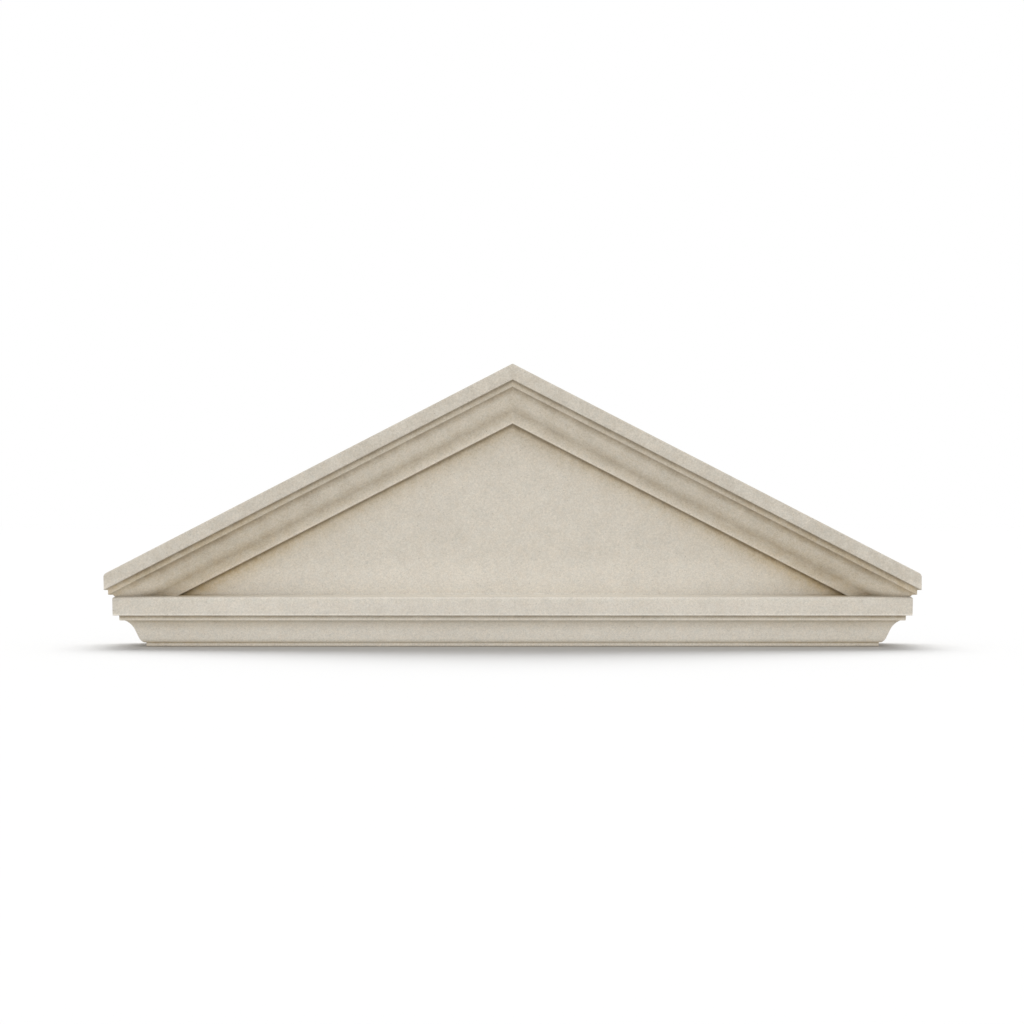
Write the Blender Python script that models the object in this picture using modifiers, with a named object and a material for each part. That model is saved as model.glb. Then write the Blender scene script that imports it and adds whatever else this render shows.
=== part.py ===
"""Triangular pediment of a door surround, cast in stone in one piece.

A level cornice runs along the bottom and returns along both ends. Two raking cornices rise from
its ledge and meet at the apex, and a plain tympanum fills the triangle between them. The back and
the bed are flat, because the casting is built against a wall and sits on a lintel or pilasters.

Metres, +Z up, front towards -Y. The origin is at the middle of the bed.
"""
import math

import bmesh
import bpy
from mathutils import Matrix, Vector

# Overall
OVERALL_WIDTH = 1.650               # across the ends of the raking fascia
PITCH = math.radians(27.25)         # slope of both rakes
BED_DEPTH = 0.150                   # from the tympanum's face back to the wall side

# Level cornice, heights from the bed upwards
BED_FILLET_HEIGHT = 0.0085
LEVEL_OVOLO_HEIGHT = 0.0092
LEVEL_SLOPE_HEIGHT = 0.0180
LEVEL_HOLLOW_HEIGHT = 0.0193
LEVEL_FILLET_HEIGHT = 0.0105
LEVEL_FASCIA_HEIGHT = 0.0378
LEDGE_FALL = 0.0032                 # the ledge sheds water towards its arris

# Level cornice, slopes of its cyma from upright, and how far the members above stand out
LEVEL_OVOLO_UNDER = math.radians(65)
LEVEL_CYMA_MIDDLE = math.radians(23)
LEVEL_HOLLOW_TOP = math.radians(62)
BED_QUIRK_PROJECTION = 0.0040
LEVEL_FILLET_PROJECTION = 0.0098
LEVEL_FASCIA_PROJECTION = 0.0125
LEVEL_FASCIA_DRAFT = 0.0008         # the fascia leans in by this much at its foot

# Raking cornice, thicknesses square to the slope from the top edge downwards
RAKE_FASCIA_HEIGHT = 0.0290
RAKE_FILLET_HEIGHT = 0.0123
RAKE_HOLLOW_HEIGHT = 0.0230
RAKE_ROLL_HEIGHT = 0.0190
RAKE_COVE_HEIGHT = 0.0225

# Raking cornice, slopes of its curve from upright, and how far its members stand out
RAKE_HOLLOW_TOP = math.radians(47)
RAKE_CURVE_MIDDLE = math.radians(27)
RAKE_ROLL_UNDER = math.radians(50)
RAKE_COVE_FOOT = math.radians(3)
RAKE_STEP_PROJECTION = 0.0164
RAKE_FILLET_PROJECTION = 0.0079
RAKE_FASCIA_PROJECTION = 0.0078
RAKE_END_GAP = 0.0040               # from the ledge's arris up to the rake's fillet at the ends

# Rounded arrises
RAKE_CORNER_RADIUS = 0.0060
LEDGE_ARRIS_RADIUS = 0.0050
SOFFIT_ARRIS_RADIUS = 0.0030
FINE_ARRIS_RADIUS = 0.0015
ARC_STEPS = 4
CURVE_STEPS = 9

# Room that the hidden ends of the working shapes run past what they cut or join
OVERRUN = 0.05
JOIN_DEPTH = 0.012                  # how far the raking block sinks into the level cornice
LEDGE_RUN_ON = 0.010                # how far the ledge runs on behind the tympanum's face
MITRE_TURN = math.radians(225)      # the corner's mitre plane faces the front run

# Stone
STONE_COLOUR = (0.60, 0.55, 0.46, 1.0)
STONE_ROUGHNESS = 0.9


def curve_run(height, top_slope, foot_slope, steps=CURVE_STEPS):
    """Points (drop, recess) down a stretch whose slope from upright turns evenly from top to foot.

    The stretch is an arc of radius height / (sin(foot) - sin(top)), or a straight line where both
    slopes are the same. The first point, (0, 0), is left out.
    """
    if math.isclose(top_slope, foot_slope):
        return [(height, height * math.tan(top_slope))]
    radius = height / (math.sin(foot_slope) - math.sin(top_slope))
    points = []
    for step in range(1, steps + 1):
        slope = top_slope + (foot_slope - top_slope) * step / steps
        drop = radius * (math.sin(slope) - math.sin(top_slope))
        recess = radius * (math.cos(top_slope) - math.cos(slope))
        points.append((drop, recess))
    return points


def chained(runs):
    """Stretches one after another, as one list of points (drop, recess) from the top."""
    points = []
    drop, recess = 0.0, 0.0
    for run in runs:
        points += [(drop + down, recess + back) for down, back in run]
        drop, recess = points[-1]
    return points


def rounded(corners):
    """An outline with its corners turned into arcs; each corner is (a, b, radius)."""
    outline = []
    for index, (a, b, radius) in enumerate(corners):
        here = Vector((a, b))
        if radius == 0.0:
            outline.append(here)
            continue
        to_last = (Vector(corners[index - 1][:2]) - here).normalized()
        to_next = (Vector(corners[(index + 1) % len(corners)][:2]) - here).normalized()
        half_angle = to_last.angle(to_next) / 2
        centre = here + (to_last + to_next).normalized() * radius / math.sin(half_angle)
        first = here + to_last * radius / math.tan(half_angle) - centre
        last = here + to_next * radius / math.tan(half_angle) - centre
        turn = first.angle_signed(last)
        for step in range(ARC_STEPS + 1):
            spoke = first.copy()
            spoke.rotate(Matrix.Rotation(-turn * step / ARC_STEPS, 2))
            outline.append(centre + spoke)
    return outline


# Curves of both cornices, and what follows from the sizes above
LEVEL_CYMA = chained([
    curve_run(LEVEL_HOLLOW_HEIGHT, LEVEL_HOLLOW_TOP, LEVEL_CYMA_MIDDLE),
    curve_run(LEVEL_SLOPE_HEIGHT, LEVEL_CYMA_MIDDLE, LEVEL_CYMA_MIDDLE),
    curve_run(LEVEL_OVOLO_HEIGHT, LEVEL_CYMA_MIDDLE, LEVEL_OVOLO_UNDER),
])
RAKE_CURVE = chained([
    curve_run(RAKE_HOLLOW_HEIGHT, RAKE_HOLLOW_TOP, RAKE_CURVE_MIDDLE),
    curve_run(RAKE_ROLL_HEIGHT, RAKE_CURVE_MIDDLE, RAKE_ROLL_UNDER),
    curve_run(RAKE_COVE_HEIGHT, RAKE_ROLL_UNDER, RAKE_COVE_FOOT),
])

LEVEL_CYMA_FRONT = BED_QUIRK_PROJECTION + LEVEL_CYMA[-1][1]
LEVEL_FILLET_FRONT = LEVEL_CYMA_FRONT + LEVEL_FILLET_PROJECTION
LEVEL_FASCIA_FRONT = LEVEL_FILLET_FRONT + LEVEL_FASCIA_PROJECTION
LEVEL_CYMA_TOP = BED_FILLET_HEIGHT + LEVEL_CYMA[-1][0]
LEVEL_FILLET_TOP = LEVEL_CYMA_TOP + LEVEL_FILLET_HEIGHT
LEVEL_TOP = LEVEL_FILLET_TOP + LEVEL_FASCIA_HEIGHT
LEDGE_SLOPE = LEDGE_FALL / LEVEL_FASCIA_FRONT

RAKE_CURVE_FRONT = RAKE_STEP_PROJECTION + RAKE_CURVE[-1][1]
RAKE_FILLET_FRONT = RAKE_CURVE_FRONT + RAKE_FILLET_PROJECTION
RAKE_FASCIA_FRONT = RAKE_FILLET_FRONT + RAKE_FASCIA_PROJECTION
RAKE_FILLET_FOOT = RAKE_FASCIA_HEIGHT + RAKE_FILLET_HEIGHT
RAKE_FOOT = RAKE_FILLET_FOOT + RAKE_CURVE[-1][0]

HALF_WIDTH = OVERALL_WIDTH / 2
TYMPANUM_HALF = HALF_WIDTH - RAKE_FASCIA_FRONT      # half width where the projection is nothing
END_SOFFIT = LEVEL_TOP + RAKE_END_GAP
END_TOP = (END_SOFFIT + RAKE_FILLET_FOOT / math.cos(PITCH)
           - RAKE_FASCIA_PROJECTION * math.tan(PITCH))
APEX = END_TOP + HALF_WIDTH * math.tan(PITCH)
END_FASCIA_FOOT = END_TOP - RAKE_FASCIA_HEIGHT / math.cos(PITCH)
DEPTH = RAKE_FASCIA_FRONT + BED_DEPTH
FACE_Y = RAKE_FASCIA_FRONT - DEPTH / 2              # the tympanum's plane


def level_members():
    """Front of the level cornice from the bed up, as corners (projection, height, radius)."""
    cyma = [(LEVEL_CYMA_FRONT - recess, LEVEL_CYMA_TOP - drop, 0.0) for drop, recess in LEVEL_CYMA]
    return [
        (0.0, 0.0, FINE_ARRIS_RADIUS),
        (0.0, BED_FILLET_HEIGHT, 0.0),
        *reversed(cyma),
        (LEVEL_CYMA_FRONT, LEVEL_CYMA_TOP, 0.0),
        (LEVEL_FILLET_FRONT, LEVEL_CYMA_TOP, FINE_ARRIS_RADIUS),
        (LEVEL_FILLET_FRONT, LEVEL_FILLET_TOP, 0.0),
        (LEVEL_FASCIA_FRONT - LEVEL_FASCIA_DRAFT, LEVEL_FILLET_TOP, SOFFIT_ARRIS_RADIUS),
        (LEVEL_FASCIA_FRONT, LEVEL_TOP, LEDGE_ARRIS_RADIUS),
        (-LEDGE_RUN_ON, LEVEL_TOP + LEDGE_SLOPE * (LEVEL_FASCIA_FRONT + LEDGE_RUN_ON), 0.0),
    ]


def level_profile():
    """Section of the level cornice, as (projection, height)."""
    back = -BED_DEPTH - OVERRUN
    members = level_members()
    return rounded([(back, 0.0, 0.0), *members, (back, members[-1][1], 0.0)])


def rake_profile():
    """Section of a rake square to its slope, as (projection, height above the top edge)."""
    reach = APEX                    # deeper than the tympanum is at the middle
    curve = [(RAKE_CURVE_FRONT - recess, -RAKE_FILLET_FOOT - drop, 0.0)
             for drop, recess in RAKE_CURVE]
    curve[-1] = (*curve[-1][:2], FINE_ARRIS_RADIUS)
    back = -BED_DEPTH - 2 * OVERRUN
    return rounded([
        (back, OVERRUN, 0.0),
        (back, -reach, 0.0),
        (0.0, -reach, 0.0),
        (0.0, -RAKE_FOOT, 0.0),
        *reversed(curve),
        (RAKE_CURVE_FRONT, -RAKE_FILLET_FOOT, 0.0),
        (RAKE_FILLET_FRONT, -RAKE_FILLET_FOOT, FINE_ARRIS_RADIUS),
        (RAKE_FILLET_FRONT, -RAKE_FASCIA_HEIGHT, 0.0),
        (RAKE_FASCIA_FRONT, -RAKE_FASCIA_HEIGHT, FINE_ARRIS_RADIUS),
        (RAKE_FASCIA_FRONT, OVERRUN, 0.0),
    ])


def rake_outline():
    """Outline of the raking block from the front; its ends step back under level soffits."""
    curve_half = TYMPANUM_HALF + RAKE_CURVE_FRONT
    sunk = LEVEL_TOP - JOIN_DEPTH
    hollow = [(curve_half - recess, END_SOFFIT - drop, 0.0) for drop, recess in RAKE_CURVE
              if END_SOFFIT - drop > sunk]
    right = [
        (hollow[-1][0], sunk, 0.0),
        *reversed(hollow),
        (curve_half, END_SOFFIT, 0.0),
        (TYMPANUM_HALF + RAKE_FILLET_FRONT, END_SOFFIT, FINE_ARRIS_RADIUS),
        (TYMPANUM_HALF + RAKE_FILLET_FRONT, END_FASCIA_FOOT, 0.0),
        (HALF_WIDTH, END_FASCIA_FOOT, SOFFIT_ARRIS_RADIUS),
        (HALF_WIDTH, END_TOP, RAKE_CORNER_RADIUS),
    ]
    left = [(-across, height, radius) for across, height, radius in reversed(right)]
    return rounded(right + [(0.0, APEX, 0.0)] + left)


def prism(name, outline, length, across, up, middle):
    """A flat outline given thickness: a mesh object with its axes along across and up."""
    curve = bpy.data.curves.new(name, "CURVE")
    curve.dimensions = "2D"
    curve.fill_mode = "BOTH"
    curve.extrude = length / 2
    spline = curve.splines.new("POLY")
    spline.points.add(len(outline) - 1)
    for point, (a, b) in zip(spline.points, outline):
        point.co = (a, b, 0.0, 1.0)
    spline.use_cyclic_u = True
    flat = bpy.data.objects.new(name + "_outline", curve)
    bpy.context.scene.collection.objects.link(flat)
    along = across.cross(up)
    flat.matrix_world = Matrix.Translation(middle) @ Matrix((across, up, along)).transposed().to_4x4()
    bpy.context.view_layer.update()

    depsgraph = bpy.context.evaluated_depsgraph_get()
    mesh = bpy.data.meshes.new_from_object(flat.evaluated_get(depsgraph))
    solid = bpy.data.objects.new(name, mesh)
    solid.matrix_world = flat.matrix_world.copy()
    bpy.data.objects.remove(flat, do_unlink=True)
    shape = bmesh.new()
    shape.from_mesh(mesh)
    bmesh.ops.remove_doubles(shape, verts=shape.verts, dist=0.00001)
    bmesh.ops.recalc_face_normals(shape, faces=shape.faces)
    shape.to_mesh(mesh)
    shape.free()
    mesh.name = name
    return solid


def boolean(target, operation, other):
    """A Boolean modifier on target that reads another object."""
    modifier = target.modifiers.new(other.name, "BOOLEAN")
    modifier.operation = operation
    modifier.object = other


def stone_material():
    """Fine pale cast stone."""
    material = bpy.data.materials.new("cast_stone")
    material.use_nodes = True
    shader = material.node_tree.nodes["Principled BSDF"]
    shader.inputs["Base Color"].default_value = STONE_COLOUR
    shader.inputs["Roughness"].default_value = STONE_ROUGHNESS
    shader.inputs["Metallic"].default_value = 0.0
    return material


def raking_block(cutters):
    """Both rakes and the tympanum: one slope, mirrored at the apex and trimmed at the ends."""
    top_length = HALF_WIDTH / math.cos(PITCH)
    length = top_length + APEX * math.tan(PITCH) + 2 * OVERRUN
    down_slope = Vector((math.cos(PITCH), 0.0, -math.sin(PITCH)))
    off_slope = Vector((math.sin(PITCH), 0.0, math.cos(PITCH)))
    middle = Vector((0.0, FACE_Y, APEX)) + down_slope * (length / 2 - OVERRUN)
    slope = prism("raking_slope", rake_profile(), length, Vector((0, -1, 0)), off_slope, middle)
    slope.data.transform(slope.matrix_world)
    slope.matrix_world = Matrix.Identity(4)
    mirror_across(slope, "other_rake")
    ends = prism("raking_ends", rake_outline(), DEPTH + 6 * OVERRUN,
                 Vector((1, 0, 0)), Vector((0, 0, 1)), Vector((0, 0, 0)))
    boolean(slope, "INTERSECT", ends)
    for shape in (slope, ends):
        cutters.objects.link(shape)
    return slope


def wall_side(cutters):
    """What is cut away behind the flat back."""
    bpy.ops.mesh.primitive_cube_add(size=1.0)
    wall = bpy.context.object
    wall.name = "wall_side"
    wall.scale = (2 * OVERALL_WIDTH, 2 * OVERALL_WIDTH, 4 * APEX)
    wall.location = (0.0, DEPTH / 2 + OVERALL_WIDTH, 0.0)
    wall.users_collection[0].objects.unlink(wall)
    cutters.objects.link(wall)
    return wall


def mirror_across(target, name, guide=None):
    """Cut target on its mirror plane, keep the +X side and mirror it to the other side."""
    mirror = target.modifiers.new(name, "MIRROR")
    mirror.use_bisect_axis = (True, False, False)
    mirror.merge_threshold = 0.0001
    mirror.mirror_object = guide


def pediment(parts, cutters):
    """The level cornice with its mitred returns, joined to the raking block."""
    body = prism("pediment", level_profile(), HALF_WIDTH + 2 * OVERRUN,
                 Vector((0, -1, 0)), Vector((0, 0, 1)), Vector((HALF_WIDTH / 2, FACE_Y, 0)))
    body.data.transform(body.matrix_world)
    body.matrix_world = Matrix.Identity(4)
    mitre = bpy.data.objects.new("mitre", None)
    mitre.location = (TYMPANUM_HALF, FACE_Y, 0.0)
    mitre.rotation_euler = (0.0, 0.0, MITRE_TURN)
    cutters.objects.link(mitre)
    mirror_across(body, "return", mitre)
    mirror_across(body, "other_half")
    boolean(body, "UNION", raking_block(cutters))
    boolean(body, "DIFFERENCE", wall_side(cutters))
    body.data.materials.append(stone_material())
    parts.objects.link(body)
    return body


def main():
    for old in list(bpy.data.objects):
        bpy.data.objects.remove(old, do_unlink=True)
    parts = bpy.data.collections.new("pediment_section")
    cutters = bpy.data.collections.new("cutters")
    for collection in (parts, cutters):
        bpy.context.scene.collection.children.link(collection)
    pediment(parts, cutters)
    for shape in cutters.objects:
        shape.hide_render = True
        shape.display_type = "WIRE"


main()
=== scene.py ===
# %% [markdown]
# # A pediment section in cast stone
#
# A pediment is the gable over a door. This one is cast in one piece: a level cornice along the
# bottom, two raking cornices that meet at the apex, and a plain field between them, the tympanum.
# The imported CAD part fixes its size. This lesson carries finer mouldings over the same sizes, wears
# their arrises, and gives the stone its grain, stains and dirt, with painted shade in its creases and
# painted light where that shade is lightened.

# %% Load the fixed frame
import math
from functools import reduce

import bmesh
import bpy
import numpy as np
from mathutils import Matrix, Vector
from mathutils.geometry import delaunay_2d_cdt


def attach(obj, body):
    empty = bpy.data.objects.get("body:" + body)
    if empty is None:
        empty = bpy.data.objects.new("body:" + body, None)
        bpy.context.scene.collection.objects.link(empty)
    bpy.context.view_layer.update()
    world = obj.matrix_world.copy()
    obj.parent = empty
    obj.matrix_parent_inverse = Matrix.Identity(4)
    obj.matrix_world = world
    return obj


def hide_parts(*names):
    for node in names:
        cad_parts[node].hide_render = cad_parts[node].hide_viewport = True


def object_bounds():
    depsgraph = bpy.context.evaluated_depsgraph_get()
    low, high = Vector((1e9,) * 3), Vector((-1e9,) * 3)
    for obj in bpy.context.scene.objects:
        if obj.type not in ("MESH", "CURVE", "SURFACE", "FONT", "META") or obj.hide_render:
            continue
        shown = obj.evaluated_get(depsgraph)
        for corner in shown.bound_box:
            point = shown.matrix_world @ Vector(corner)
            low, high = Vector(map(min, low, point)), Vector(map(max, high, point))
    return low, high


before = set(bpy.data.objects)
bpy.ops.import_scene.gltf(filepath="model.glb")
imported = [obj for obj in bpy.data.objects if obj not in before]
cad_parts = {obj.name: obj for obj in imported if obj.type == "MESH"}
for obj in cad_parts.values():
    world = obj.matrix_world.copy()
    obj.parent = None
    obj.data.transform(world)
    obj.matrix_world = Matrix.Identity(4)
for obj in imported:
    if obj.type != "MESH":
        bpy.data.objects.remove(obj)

cad_low, cad_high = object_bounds()
print("CAD box", [round(b - a, 4) for a, b in zip(cad_low, cad_high)], "m")

# %% [markdown]
# ## The sizes
#
# The heights and projections of the flat members, in metres, as the mould maker would draw them.
# The level cornice is measured upright. The raking cornice is measured square to its slope. All
# other places are worked out from these sizes and from the two curves in the next step, so a change
# of one size carries through the whole piece.

# %% Sizes of the casting
HALF_WIDTH = 1.650 / 2
PITCH = math.radians(27.25)
TAN, COS = math.tan(PITCH), math.cos(PITCH)
BED_DEPTH = 0.150

BED_FILLET_HEIGHT = 0.0085
LEVEL_FILLET_HEIGHT = 0.0105
LEVEL_FASCIA_HEIGHT = 0.0378
LEDGE_FALL = 0.0032
BED_QUIRK = 0.0040
LEVEL_FILLET_PROJECTION = 0.0098
LEVEL_FASCIA_PROJECTION = 0.0125
LEVEL_FASCIA_DRAFT = 0.0008

RAKE_FASCIA_HEIGHT = 0.0290
RAKE_FILLET_HEIGHT = 0.0123
RAKE_STEP = 0.0164
RAKE_FILLET_PROJECTION = 0.0079
RAKE_FASCIA_PROJECTION = 0.0078
RAKE_END_GAP = 0.0040

TOP_ARRIS = 0.0030
FINE_ARRIS = 0.0015
SOFFIT_ARRIS = 0.0012
LEDGE_ARRIS = 0.0050
END_CORNER = 0.0090
print("pitch", round(math.degrees(PITCH), 2), "degrees; each rake rises", round(HALF_WIDTH * TAN, 4), "m")

# %% [markdown]
# ## Curves of the mouldings
#
# A moulding is drawn as stretches whose slope turns evenly, each an arc of a circle. The level
# cornice has a cyma: hollow above, round below. The rake has a hollow, a roll and a small cove. A
# curve drawn by eye could look the same, but an arc needs only a height and two slopes, and it can
# be cut as a template.

# %% Curves as stretches that turn evenly
def turning(height, top_slope, foot_slope, steps):
    """Points (drop, recess) of an arc whose slope from upright goes from top_slope to foot_slope.

    Radius = height / (sin foot - sin top); drop = radius (sin slope - sin top) and
    recess = radius (cos top - cos slope).
    """
    slope = np.radians(np.linspace(top_slope, foot_slope, steps + 1)[1:])
    top, foot = math.radians(top_slope), math.radians(foot_slope)
    if top_slope == foot_slope:
        drop = height * np.arange(1, steps + 1) / steps
        return np.stack([drop, drop * math.tan(top)], 1)
    radius = height / (math.sin(foot) - math.sin(top))
    return np.stack([radius * (np.sin(slope) - math.sin(top)),
                     radius * (math.cos(top) - np.cos(slope))], 1)


def chained(*runs):
    """Stretches one after another: each starts where the last one ended."""
    ends = np.cumsum([run[-1] for run in runs], axis=0)
    starts = np.vstack([[0.0, 0.0], ends[:-1]])
    return np.vstack([run + start for run, start in zip(runs, starts)])


level_cyma = chained(turning(0.0193, 62, 23, 11), turning(0.0180, 23, 23, 6),
                     turning(0.0092, 23, 65, 8))
rake_curve = chained(turning(0.0230, 47, 27, 10), turning(0.0190, 27, 50, 8),
                     turning(0.0225, 50, 3, 13))
print("level cyma", level_cyma[-1].round(4), "rake curve", rake_curve[-1].round(4), "drop and recess, m")

# %% Where each member stands
CYMA_FRONT = BED_QUIRK + level_cyma[-1, 1]
LEVEL_FILLET_FRONT = CYMA_FRONT + LEVEL_FILLET_PROJECTION
LEVEL_FASCIA_FRONT = LEVEL_FILLET_FRONT + LEVEL_FASCIA_PROJECTION
CYMA_TOP = BED_FILLET_HEIGHT + level_cyma[-1, 0]
LEVEL_FILLET_TOP = CYMA_TOP + LEVEL_FILLET_HEIGHT
LEVEL_TOP = LEVEL_FILLET_TOP + LEVEL_FASCIA_HEIGHT

RAKE_CURVE_FRONT = RAKE_STEP + rake_curve[-1, 1]
RAKE_FILLET_FRONT = RAKE_CURVE_FRONT + RAKE_FILLET_PROJECTION
RAKE_FASCIA_FRONT = RAKE_FILLET_FRONT + RAKE_FASCIA_PROJECTION
RAKE_FILLET_FOOT = RAKE_FASCIA_HEIGHT + RAKE_FILLET_HEIGHT
RAKE_FOOT = RAKE_FILLET_FOOT + rake_curve[-1, 0]

FIELD_HALF = HALF_WIDTH - RAKE_FASCIA_FRONT
END_SOFFIT = LEVEL_TOP + RAKE_END_GAP
END_TOP = END_SOFFIT + RAKE_FILLET_FOOT / COS - RAKE_FASCIA_PROJECTION * TAN
APEX = END_TOP + HALF_WIDTH * TAN
END_FASCIA_FOOT = END_TOP - RAKE_FASCIA_HEIGHT / COS
FACE_Y = (RAKE_FASCIA_FRONT - BED_DEPTH) / 2
print("apex at", round(APEX, 4), "m, tympanum plane at y =", round(FACE_Y, 4), "m")

# %% [markdown]
# ## Camera, floor and light
#
# The photograph looks straight at the front from about five metres, half way up the piece, on a
# white ground. Two wide lights behind the piece shine on the floor alone, so that the shadow of the
# piece falls softly forwards. Three more, from above, the front and below, shine on the stone alone.
# The even light of the world reaches both, and to the camera the world is white. Suns are used
# because their light is equally strong from end to end, and a sun's angle decides how soft its
# shadows are.

# %% Camera at the photograph's viewing angle
SCENE = bpy.context.scene
METRES_PER_PIXEL = 0.002015
PICTURE_PIXELS = 1024
CAMERA_DISTANCE = 5.0
CAMERA_ASIDE = -0.0012
CAMERA_HEIGHT = 0.2751
SENSOR_WIDTH = 36.0
camera_data = bpy.data.cameras.new("photograph_camera")
camera_data.sensor_width = SENSOR_WIDTH
camera_data.lens = SENSOR_WIDTH * CAMERA_DISTANCE / (PICTURE_PIXELS * METRES_PER_PIXEL)
camera = bpy.data.objects.new("photograph_camera", camera_data)
camera.location = (CAMERA_ASIDE, FACE_Y - RAKE_FASCIA_FRONT - CAMERA_DISTANCE, CAMERA_HEIGHT)
camera.rotation_euler = (math.radians(90), 0.0, 0.0)
SCENE.collection.objects.link(camera)
SCENE.camera = camera
SCENE.view_settings.view_transform = "Standard"
print("lens", round(camera_data.lens, 2), "mm")

# %% White ground
FLOOR_HALF = 40


def plain_material(name, colour, roughness):
    """One even finish, for the ground that the piece stands on."""
    material = bpy.data.materials.new(name)
    material.use_nodes = True
    shader = material.node_tree.nodes["Principled BSDF"]
    shader.inputs["Base Color"].default_value = (*colour, 1.0)
    shader.inputs["Roughness"].default_value = roughness
    shader.inputs["Specular IOR Level"].default_value = 0.0
    return material


floor_corners = [(x * FLOOR_HALF, y * FLOOR_HALF, 0) for x, y in ((-1, -1), (1, -1), (1, 1), (-1, 1))]
floor_mesh = bpy.data.meshes.new("floor")
floor_mesh.from_pydata(floor_corners, [], [(0, 1, 2, 3)])
floor_mesh.materials.append(plain_material("white_ground", (0.70, 0.70, 0.70), 0.9))
floor = bpy.data.objects.new("floor", floor_mesh)
SCENE.collection.objects.link(floor)
print("ground:", 2 * FLOOR_HALF, "m square")

# %% World, white to the camera
AMBIENT = 0.60


def studio_world(name, ambient):
    """White to the camera, and even light of strength ambient on everything else."""
    studio = bpy.data.worlds.new(name)
    studio.use_nodes = True
    nodes, links = studio.node_tree.nodes, studio.node_tree.links
    seen = nodes.new("ShaderNodeLightPath")
    strength = nodes.new("ShaderNodeMath")
    strength.operation = "MULTIPLY_ADD"
    strength.inputs[1].default_value = 1.0 - ambient
    strength.inputs[2].default_value = ambient
    links.new(seen.outputs["Is Camera Ray"], strength.inputs[0])
    links.new(strength.outputs[0], nodes["Background"].inputs["Strength"])
    nodes["Background"].inputs["Color"].default_value = (1.0, 1.0, 1.0, 1.0)
    return studio


SCENE.world = studio_world("studio", AMBIENT)
print("even light from all round:", AMBIENT)

# %% Wide lights, some for the floor and some for the stone
LIGHT_DISTANCE = 4


def far_light(name, azimuth, elevation, strength, spread):
    """Soft light from far away; azimuth 0 comes from the front, and spread is its width in degrees."""
    lamp = bpy.data.lights.new(name, "SUN")
    lamp.energy = strength
    lamp.angle = math.radians(spread)
    light = bpy.data.objects.new(name, lamp)
    turn, rise = math.radians(azimuth), math.radians(elevation)
    coming_from = Vector((math.sin(turn) * math.cos(rise), -math.cos(turn) * math.cos(rise),
                          math.sin(rise)))
    light.rotation_euler = coming_from.to_track_quat("Z", "Y").to_euler()
    light.location = coming_from * LIGHT_DISTANCE
    SCENE.collection.objects.link(light)
    return light


def shines_on(lights, name):
    """A new collection of that name, whose objects are the only ones that the lights shine on."""
    lit = bpy.data.collections.new(name)
    for light in lights:
        light.light_linking.receiver_collection = lit
    return lit


left_ground_light = far_light("left_ground_light", -165, 56, 1.58, 50)
right_ground_light = far_light("right_ground_light", 165, 56, 1.58, 50)
top_light = far_light("top_light", 0, 80, 2.3, 50)
front_light = far_light("front_light", 0, 12, 0.6, 50)
low_light = far_light("low_light", 0, -25, 1.15, 60)
ground_lights = [left_ground_light, right_ground_light]
ground_only = shines_on(ground_lights, "ground_only")
ground_only.objects.link(floor)
stone_lights = [top_light, front_light, low_light]
stone_only = shines_on(stone_lights, "stone_only")
for light in stone_lights:                  # the floor doesn't shade the light that comes from below it
    light.light_linking.blocker_collection = stone_only
print(len(ground_lights), "lights for the floor,", len(stone_lights), "for the stone")

# %% [markdown]
# ## Sections through the two cornices
#
# Each section is a line of points from the top to the foot. Its convex corners are turned into
# small arcs, because a cast arris is never knife sharp, and long flats get points a few
# millimetres apart, so that wear has something to bite on. A Bevel modifier would round the
# hollows too, because it takes every edge of a given angle.

# %% Corners made round
ARC_STEP = 0.0007


def softened(corners):
    """A path whose corners (a, b, radius) become arcs that run smoothly into both sides.

    Tangent length = radius / tan(half the corner's angle), with a point about every ARC_STEP.
    A radius of 0 keeps the corner.
    """
    corners = np.asarray(corners, float)
    path = [corners[:1, :2]]
    for before, (a, b, radius), after in zip(corners[:-2], corners[1:-1], corners[2:]):
        here = np.array([a, b])
        if radius == 0.0:
            path.append(here[None])
            continue
        back = (before[:2] - here) / np.linalg.norm(before[:2] - here)
        on = (after[:2] - here) / np.linalg.norm(after[:2] - here)
        half = math.acos(np.clip(back @ on, -1, 1)) / 2
        middle = here + (back + on) / np.linalg.norm(back + on) * radius / math.sin(half)
        first = here + back * radius / math.tan(half) - middle
        last = here + on * radius / math.tan(half) - middle
        sweep = math.pi - 2 * half
        share = np.linspace(0, 1, 2 + int(radius * sweep / ARC_STEP))[:, None]
        path.append(middle + (np.sin((1 - share) * sweep) * first + np.sin(share * sweep) * last)
                    / math.sin(sweep))
    path.append(corners[-1:, :2])
    return np.vstack(path)


square_corner = softened([(0, 0, 0), (1, 0, LEDGE_ARRIS), (1, 1, 0)])
print("a square corner of", LEDGE_ARRIS, "m gets", len(square_corner) - 2, "points")

# %% Points placed along a line
ROW_GAP = 0.0026
MOST_GAPS = 400


def spaced(path, longest):
    """The same path with points added along its stretches, none of which is then over longest."""
    steps = np.diff(path, axis=0)
    counts = np.maximum(1, np.ceil(np.linalg.norm(steps, axis=1) / longest - 1e-6)).astype(int)
    which = np.repeat(np.arange(len(steps)), counts)
    within = np.arange(len(which)) - np.repeat(np.cumsum(counts) - counts, counts)
    inner = path[which] + steps[which] * (within / counts[which])[:, None]
    return np.vstack([inner, path[-1:]])


def graded(start, end, fine, coarse, growth=1.18, both=True):
    """Points from start to end, fine apart at start (and at end, if both) and growing to coarse."""
    length = abs(end - start)
    reach = length / 2 if both else length
    gaps = np.minimum(fine * growth ** np.arange(MOST_GAPS), coarse)
    marks = np.concatenate([[0.0], np.cumsum(gaps)])
    marks = marks[: np.searchsorted(marks, reach) + 1]
    marks = marks * reach / marks[-1]
    if both:
        marks = np.concatenate([marks, length - marks[-2::-1]])
    return start + math.copysign(1.0, end - start) * marks


print("0 to 0.1 m, graded:", graded(0.0, 0.1, 0.01, 0.03).round(3))

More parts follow.
